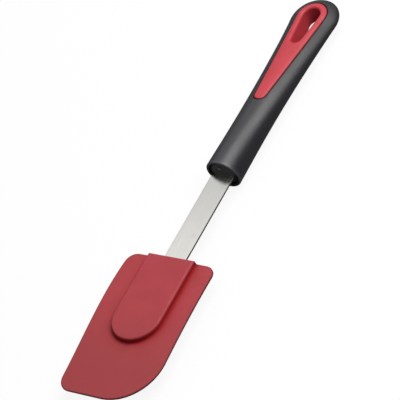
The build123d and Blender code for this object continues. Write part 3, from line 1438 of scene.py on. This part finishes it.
@dataclass
class Blade:
    """Silicone head: flexible blade with the thick tongue round the strip.

    Attributes:
        top: Distance of its top edge before the handle's front end.
        length: Its length.
        left_reaches: Reach of its left side at four places.
        left_shares: Those places, as shares of the length.
        right_reaches: Reach of its right side at four places.
        right_shares: Those places, as shares of the length.
        corner_radii: Radii of the corners: top left, top right, bottom left, working corner.
        core: Half thickness at the middle of the top and of the bottom edge.
        edge: Half thickness towards the sides.
        rim_round: Radius of the scraping edges.
        tongue_half_width: Half width of the tongue.
        tongue_length: Length of the tongue.
        tongue_height: Half thickness of the tongue.
        tongue_round: Radius of the tongue's upper edge.
        root_round: Radius at the foot of the tongue's wall.
        draught: How much the wall leans over its height.
        overrun: How far the lens-shaped section runs past the widest reach.
        foot_shade: How strongly the tongue's wall and foot are shaded.
        rim_shade: How strongly shade is painted on the narrow rims.
        rim_lines: Distances inside the outline of two more lines that the triangles follow.
        tongue_lines: Distances outside the tongue of two more such lines, below 0 for inside.
        wall_shares: Places of such lines on the tongue's wall, as shares of its lean.
        side_points: Points along a side line.
        outline_points: Points round the outline, with both ends.
        tongue_steps: Steps round the tongue's end.
        top_points: Points across the tongue's top edge.
        rim_steps: Steps round the scraping edges.
        round_steps: Steps round the tongue's upper edge.
        root_steps: Steps round the foot of the tongue's wall.
        top_steps: Steps round the tongue's upper edge at the blade's top.
        row_step: Distance between the tongue's rows.
        spacing: Distance between free points.
        finish: Its finish.
    """

    top: float = -60.5
    length: float = 92.1
    left_reaches: tuple[float, ...] = (29.8, 31.4, 29.7, 27.1)
    left_shares: tuple[float, ...] = (0.0, 0.30, 0.60, 1.0)
    right_reaches: tuple[float, ...] = (29.1, 28.85, 29.6, 31.9)
    right_shares: tuple[float, ...] = (0.0, 0.33, 0.56, 1.0)
    corner_radii: tuple[float, ...] = (7.0, 6.0, 8.3, 27.0)
    core: tuple[float, float] = (1.2, 0.65)
    edge: float = 0.45
    rim_round: float = 0.38
    tongue_half_width: float = 15.7
    tongue_length: float = 56.2
    tongue_height: float = 4.2
    tongue_round: float = 1.0
    root_round: float = 0.6
    draught: float = 0.12
    overrun: float = 2.0
    foot_shade: float = 0.9
    rim_shade: float = 0.85
    rim_lines: tuple[float, float] = (0.9, 2.0)
    tongue_lines: tuple[float, float] = (-2.2, 1.6)
    wall_shares: tuple[float, ...] = (0.0, 0.33, 0.66, 1.0)
    side_points: int = 400
    outline_points: int = 420
    tongue_steps: int = 60
    top_points: int = 32
    rim_steps: int = 5
    round_steps: int = 7
    root_steps: int = 6
    top_steps: int = 6
    row_step: float = 1.0
    spacing: float = 1.5
    finish: Surface = SiliconeFinish(
        "red_silicone", "B03D44", roughness=0.55, ior=1.41, lower_share=0.8
    )

    def _side(self, reaches: tuple[float, ...], shares: tuple[float, ...], sign: int) -> np.ndarray:
        """Smooth side line of the blade from its top to its bottom edge.

        Args:
            reaches: Reach at four places.
            shares: Those places, as shares of the length.
            sign: -1 for the left side and 1 for the right one.

        Returns:
            Points of the line.
        """
        curve = np.polynomial.Polynomial.fit(shares, reaches, len(shares) - 1)
        share = np.linspace(0, 1, self.side_points)
        return np.column_stack([sign * curve(share), self.top - self.length * share])

    def _corner(self, side: np.ndarray, level: float, radius: float) -> tuple[np.ndarray, int]:
        """Round the corner between a side line and an upright edge line.

        Args:
            side: Side line that starts or ends at the corner.
            level: Distance of the top or bottom edge.
            radius: Radius of the corner.

        Returns:
            Points of the arc from the edge line to the side line, and the side's
            point where it ends.
        """
        halvings, least_points, arc_step = 50, 8, 0.7
        at_top = side[0, 1] == level
        near = side[0] if at_top else side[-1]
        sign = math.copysign(1, near[0])
        across = level - radius if at_top else level + radius
        low, high = 0.0, abs(near[0]) + radius
        for _ in range(halvings):
            middle = (low + high) / 2
            gap = np.hypot(side[:, 0] - sign * middle, side[:, 1] - across).min()
            inner = abs(side[np.abs(side[:, 1] - across).argmin(), 0]) > middle
            low, high = (middle, high) if gap > radius and inner else (low, middle)
        centre = np.array([sign * low, across])
        foot = int(np.hypot(*(side - centre).T).argmin())
        start = math.pi / 2 if at_top else -math.pi / 2
        end = math.atan2(side[foot, 1] - across, side[foot, 0] - centre[0])
        if sign < 0:
            end = end % (2 * math.pi) if at_top else end - 2 * math.pi * (end > 0)
        count = max(least_points, int(abs(end - start) * radius / arc_step))
        turns = np.linspace(start, end, count)
        return centre + radius * np.column_stack([np.cos(turns), np.sin(turns)]), foot

    @cached_property
    def outline(self) -> np.ndarray:
        """Closed outline of the blade, resampled evenly."""
        bottom = self.top - self.length
        left = self._side(self.left_reaches, self.left_shares, -1)
        right = self._side(self.right_reaches, self.right_shares, 1)
        top_left, left_start = self._corner(left, self.top, self.corner_radii[0])
        top_right, right_start = self._corner(right, self.top, self.corner_radii[1])
        bottom_left, left_end = self._corner(left, bottom, self.corner_radii[2])
        working, right_end = self._corner(right, bottom, self.corner_radii[3])
        loop = np.concatenate(
            [
                top_left,
                left[left_start + 1 : left_end],
                bottom_left[::-1],
                working,
                right[right_start + 1 : right_end][::-1],
                top_right[::-1],
            ]
        )
        steps = np.hypot(*(np.roll(loop, -1, axis=0) - loop).T)
        along = np.concatenate([[0], np.cumsum(steps)])
        closed = np.vstack([loop, loop[:1]])
        even = np.linspace(0, along[-1], self.outline_points)[:-1]
        return np.column_stack([np.interp(even, along, closed[:, axis]) for axis in (0, 1)])

    @staticmethod
    def _inset(loop: np.ndarray, gap: float) -> np.ndarray:
        """Move a closed loop inwards.

        Args:
            loop: The loop, counterclockwise.
            gap: How far it moves.

        Returns:
            The moved loop.
        """
        along = np.roll(loop, -1, axis=0) - np.roll(loop, 1, axis=0)
        along /= np.hypot(*along.T)[:, None]
        return loop + gap * np.column_stack([-along[:, 1], along[:, 0]])

    def _tongue_line(self, grow: float) -> np.ndarray:
        """Open line round the tongue at one distance, running past the top edge.

        Args:
            grow: Distance outside the tongue, below 0 for inside.

        Returns:
            Points of the line.
        """
        radius = self.tongue_half_width + grow
        centre = self.top - self.tongue_length + self.tongue_half_width
        turns = np.linspace(math.pi, 2 * math.pi, self.tongue_steps + 1)
        end = np.column_stack([radius * np.cos(turns), centre + radius * np.sin(turns)])
        rows = np.arange(centre, self.top + self.row_step, self.row_step)[1:]
        left = np.column_stack([np.full(len(rows), -radius), rows[::-1]])
        return np.concatenate([left, end, left[::-1] * (-1, 1)])

    def _tongue_inside(self, flat: np.ndarray) -> np.ndarray:
        """Distance of plan points inside the tongue's outline, below 0 outside."""
        centre = self.top - self.tongue_length + self.tongue_half_width
        below = np.minimum(flat[:, 1] - centre, 0)
        return self.tongue_half_width - np.hypot(flat[:, 0], below)

    def _rounded(self, gap: np.ndarray, radius: float) -> np.ndarray:
        """How far a rounded edge has sunk at some distance from its upright side."""
        short = np.clip(radius - gap, 0, radius)
        return radius - np.sqrt(radius**2 - short**2)

    def height(self, flat: np.ndarray) -> np.ndarray:
        """Height of the head's front surface over plan points.

        Args:
            flat: Plan points, one row each.

        Returns:
            The heights over the mid plane.
        """
        rim = distance_to(flat, self.outline)
        share = np.clip((self.top - flat[:, 1]) / self.length, 0, 1)
        core = self.core[0] * (1 - share) + self.core[1] * share
        reach = max(*self.left_reaches, *self.right_reaches) + self.overrun
        lens = core - (core - self.edge) * (flat[:, 0] / reach) ** 2
        blade = lens - self._rounded(rim, self.rim_round)
        deep = self._tongue_inside(flat)
        crest = self.tongue_height - self._rounded(deep - self.draught, self.tongue_round)
        crest = np.minimum(crest, self.tongue_height - self._rounded(rim, self.tongue_round))
        foot = np.clip(self.root_round + deep, 0, self.root_round)
        root = blade + self.root_round - np.sqrt(self.root_round**2 - foot**2)
        climb = np.clip(deep / self.draught, 0, 1)
        wall = root * (1 - climb) + crest * climb
        return np.where(deep > self.draught, crest, np.where(deep > 0, wall, root))

    def _painted_shade(self, where: np.ndarray) -> np.ndarray:
        """How much shade is painted on each point: the tongue's wall and its foot.

        Args:
            where: Points in millimetres from the handle's front end.

        Returns:
            The share, from 0 to 1.
        """
        flat = where[:, :2]
        deep = self._tongue_inside(flat)
        near_reach, far_reach, far_share = 1.3, 4.5, 0.25
        shade = np.exp(-((deep / near_reach) ** 2)) + far_share * np.exp(-((deep / far_reach) ** 2))
        foot = np.where(deep < 0, np.minimum(shade, 1), 1) * self._low(where)
        return np.where(deep > self.tongue_round, 0, foot * self.foot_shade)

    def _low(self, where: np.ndarray) -> np.ndarray:
        """How far each point lies below the tongue's faces, from 0 to 1."""
        clearance, length = 0.5, 1.2
        return np.clip((self.tongue_height - clearance - np.abs(where[:, 2])) / length, 0, 1)

    def _painted_rim_shade(self, where: np.ndarray) -> np.ndarray:
        """How much shade is painted on each point near the rims, from 0 to 1."""
        reach = 0.45
        rim = np.exp(-((distance_to(where[:, :2], self.outline) / reach) ** 2))
        return rim * self._low(where) * self.rim_shade

    def build(self, origin: Vector) -> bpy.types.Object:
        """Draw and dress the head.

        Args:
            origin: Place of the handle's front end in metres.

        Returns:
            The head.
        """
        rim_gaps = [gap for gap, _ in quarter(self.rim_round, self.rim_steps)[:-1]]
        crest = quarter(self.tongue_round, self.round_steps)[:-1]
        root = quarter(self.root_round, self.root_steps)[:-1]
        lines = [self._tongue_line(-self.draught * share) for share in self.wall_shares]
        lines += [self._tongue_line(-self.draught - gap) for gap, _ in crest]
        lines += [self._tongue_line(gap) for gap, _ in root]
        lines += [self._tongue_line(grow) for grow in self.tongue_lines]
        across = np.linspace(-self.tongue_half_width, self.tongue_half_width, self.top_points)
        for gap, _ in quarter(self.tongue_round, self.top_steps)[1:-1]:
            lines.append(np.column_stack([across, np.full(len(across), self.top - gap)]))
        plan = Plan(
            self.outline,
            rings=[self._inset(self.outline, gap) for gap in (*rim_gaps, *self.rim_lines)],
            lines=lines,
            spacing=self.spacing,
        )
        draft = Draft()
        draft.mirrored_plate(plan, self.height)
        # Painted shade on the tongue's wall and foot, and on the rims.
        paints = {"painted_shade": self._painted_shade, "painted_rim_shade": self._painted_rim_shade}
        return draft.build("silicone_head", origin, self.finish, paints)


# Studio


@dataclass
class Softbox:
    """One flat lamp.

    Attributes:
        name: Its name.
        towards: Direction of the lamp from the tool.
        distance: Its distance in metres.
        sides: Lengths of its two sides in metres.
        radiance: How bright its face is.
        roll: Turn of its face in degrees.
    """

    name: str
    towards: tuple[float, float, float]
    distance: float
    sides: tuple[float, float]
    radiance: float
    roll: float = 0.0

    def place(self, aim: Vector) -> None:
        """Put the lamp up.

        Args:
            aim: Point that it faces.
        """
        data = bpy.data.lights.new(self.name, "AREA")
        data.shape = "RECTANGLE"
        data.size, data.size_y = self.sides
        data.energy = self.radiance * math.pi * data.size * data.size_y
        lamp = bpy.data.objects.new(self.name, data)
        away = Vector(self.towards).normalized()
        lamp.location = aim + away * self.distance
        turn = Matrix.Rotation(math.radians(self.roll), 4, "Z")
        lamp.rotation_euler = (away.to_track_quat("Z", "Y").to_matrix().to_4x4() @ turn).to_euler()
        bpy.context.scene.collection.objects.link(lamp)


@dataclass
class Studio:
    """Camera, lamps, surroundings and floor.

    Attributes:
        camera_place: Place of the camera in metres.
        camera_right: Direction of the picture's right side.
        camera_up: Direction of the picture's top.
        lens: Focal length in millimetres.
        sight: How far the camera sees, in metres.
        lamps: The lamps.
        sky_towards: Direction of the brightest surroundings.
        sky: Brightness of the darkest and of the brightest surroundings that light the tool.
        sky_zone: Nearness to that direction where they are darkest and brightest.
        backdrop: Nearness to that direction where gloss starts to show white and shows it all.
        front: Share of the direction along the tool where gloss starts to show the grey front
            and shows it all.
        front_share: How white the front is in gloss.
        dark_side: Brightness of the dark sides in gloss.
        floor_colour: Colour of the floor, away from the camera's own view.
        floor_glow: Share of the floor's white in the camera's view that no shadow dims.
        floor_side: Length of the floor's side in metres.
    """

    camera_place: tuple[float, float, float] = (0.80256, -0.62095, 0.95885)
    camera_right: tuple[float, float, float] = (0.80214, 0.44895, -0.39372)
    camera_up: tuple[float, float, float] = (-0.133, 0.77711, 0.61515)
    lens: float = 225.0
    sight: float = 20.0
    lamps: tuple[Softbox, ...] = (
        Softbox(
            "overhead_softbox",
            towards=(0.41, 0.33, 0.85),
            distance=1.3,
            sides=(1.2, 0.8),
            radiance=5.9,
            roll=45.0,
        ),
        Softbox(
            "left_reflector",
            towards=(-0.58, 0.42, 0.69),
            distance=1.3,
            sides=(0.85, 0.85),
            radiance=0.3,
        ),
    )
    sky_towards: tuple[float, float, float] = (-0.35, 0.45, 0.82)
    sky: tuple[float, float] = (0.05, 0.33)
    sky_zone: tuple[float, float] = (-0.5, 0.9)
    backdrop: tuple[float, float] = (0.5, 0.95)
    front: tuple[float, float] = (-0.2, -0.5)
    front_share: float = 0.3
    dark_side: float = 0.12
    floor_colour: float = 0.22
    floor_glow: float = 0.9
    floor_side: float = 6.0

    def _camera(self) -> None:
        """Set the camera up at the photograph's angle."""
        right = Vector(self.camera_right).normalized()
        up = Vector(self.camera_up)
        up = (up - right * up.dot(right)).normalized()
        back = right.cross(up)
        data = bpy.data.cameras.new("camera")
        data.lens = self.lens
        data.clip_end = self.sight
        camera = bpy.data.objects.new("camera", data)
        turn = Matrix((right, up, back)).transposed().to_4x4()
        camera.matrix_world = Matrix.Translation(self.camera_place) @ turn
        bpy.context.scene.collection.objects.link(camera)
        bpy.context.scene.camera = camera

    def _surroundings(self) -> None:
        """White to the camera, graded from white to dark in gloss, and a soft light on the tool."""
        world = bpy.data.worlds.new("studio")
        bpy.context.scene.world = world
        world.use_nodes = True
        bench = NodeBench(world.node_tree)
        rays = ("Is Camera Ray", "Is Glossy Ray", "Is Transmission Ray")
        seen, glossy, through = (bench.signal("ShaderNodeLightPath", ray) for ray in rays)
        direction = bench.signal("ShaderNodeTexCoord", "Generated")
        around = bench.signal(
            "ShaderNodeVectorMath",
            "Value",
            settings={"operation": "DOT_PRODUCT"},
            inputs={0: direction, 1: self.sky_towards},
        )
        along = bench.axis(direction, 1)
        dark, bright = self.sky
        light = around.ramp(*self.sky_zone) * (bright - dark) + dark
        white = around.ramp(*self.backdrop) + along.ramp(*self.front) * self.front_share
        gloss = white.clamped() * (1 - self.dark_side) + self.dark_side
        shown = light + (glossy + through) * (gloss - light)
        strength = shown + seen * (1 - shown)
        surroundings = bench.node("ShaderNodeBackground", inputs={"Strength": strength})
        bench.node("ShaderNodeOutputWorld", inputs={"Surface": surroundings.outputs[0]})

    def _floor(self) -> None:
        """Lay the pale floor that the tool's shadow falls on."""
        material = bpy.data.materials.new("pale_floor")
        material.use_nodes = True
        bench = NodeBench(material.node_tree)
        seen = bench.signal("ShaderNodeLightPath", "Is Camera Ray")
        tone = seen * (1 - self.floor_colour) + self.floor_colour
        tint = bench.signal("ShaderNodeCombineColor", 0, inputs={0: tone, 1: tone, 2: tone})
        matt = bench.node("ShaderNodeBsdfDiffuse", inputs={"Color": tint})
        glow = bench.node("ShaderNodeEmission", inputs={"Strength": 1.0})
        mixed = bench.node(
            "ShaderNodeMixShader",
            inputs={0: seen * self.floor_glow, 1: matt.outputs[0], 2: glow.outputs[0]},
        )
        bench.node("ShaderNodeOutputMaterial", inputs={"Surface": mixed.outputs[0]})
        half = self.floor_side / 2
        mesh = bpy.data.meshes.new("floor")
        corners = [(-half, -half, 0), (half, -half, 0), (half, half, 0), (-half, half, 0)]
        mesh.from_pydata(corners, [], [(0, 1, 2, 3)])
        mesh.materials.append(material)
        floor = bpy.data.objects.new("floor", mesh)
        bpy.context.scene.collection.objects.link(floor)

    def build(self) -> None:
        """Set up the whole studio."""
        bpy.context.scene.view_settings.view_transform = "Standard"
        low, high = cad_box
        for lamp in self.lamps:
            lamp.place((low + high) / 2)
        self._camera()
        self._surroundings()
        self._floor()


def handle_origin() -> Vector:
    """Place of the handle's front end, on the strip's mid plane, in metres."""
    low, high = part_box("steel_shank")
    return Vector((0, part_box("handle_body")[0].y, (low.z + high.z) / 2))


def show(piece: bpy.types.Object, node: str) -> None:
    """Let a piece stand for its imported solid.

    Args:
        piece: The piece.
        node: Name of the solid.
    """
    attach(piece, "root")
    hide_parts(node)
    log.info("%s: %d faces", piece.name, len(piece.data.polygons))


def main() -> None:
    """Build the spatula and the studio in order."""
    logging.basicConfig(level=logging.INFO, format="%(name)s: %(message)s")
    Studio().build()
    origin = handle_origin()
    form = HandleForm()
    outline = TaperedSlot(near=53.4, near_radius=4.4, far=form.length, far_radius=10.3, side_steps=60)
    slot = TaperedSlot(near=97.8, near_radius=3.3, far=form.length, far_radius=5.5, side_steps=24)
    inlay = Inlay(form, outline, slot)
    lining = replace(
        slot, near_radius=slot.near_radius + inlay.wall, far_radius=slot.far_radius + inlay.wall
    )
    show(Handle(form, outline, lining).build(origin), "handle_body")
    show(inlay.build(origin), "soft_inlay")
    show(Shank().build(origin), "steel_shank")
    show(Blade().build(origin), "silicone_blade")


if __name__ == "__main__":
    main()
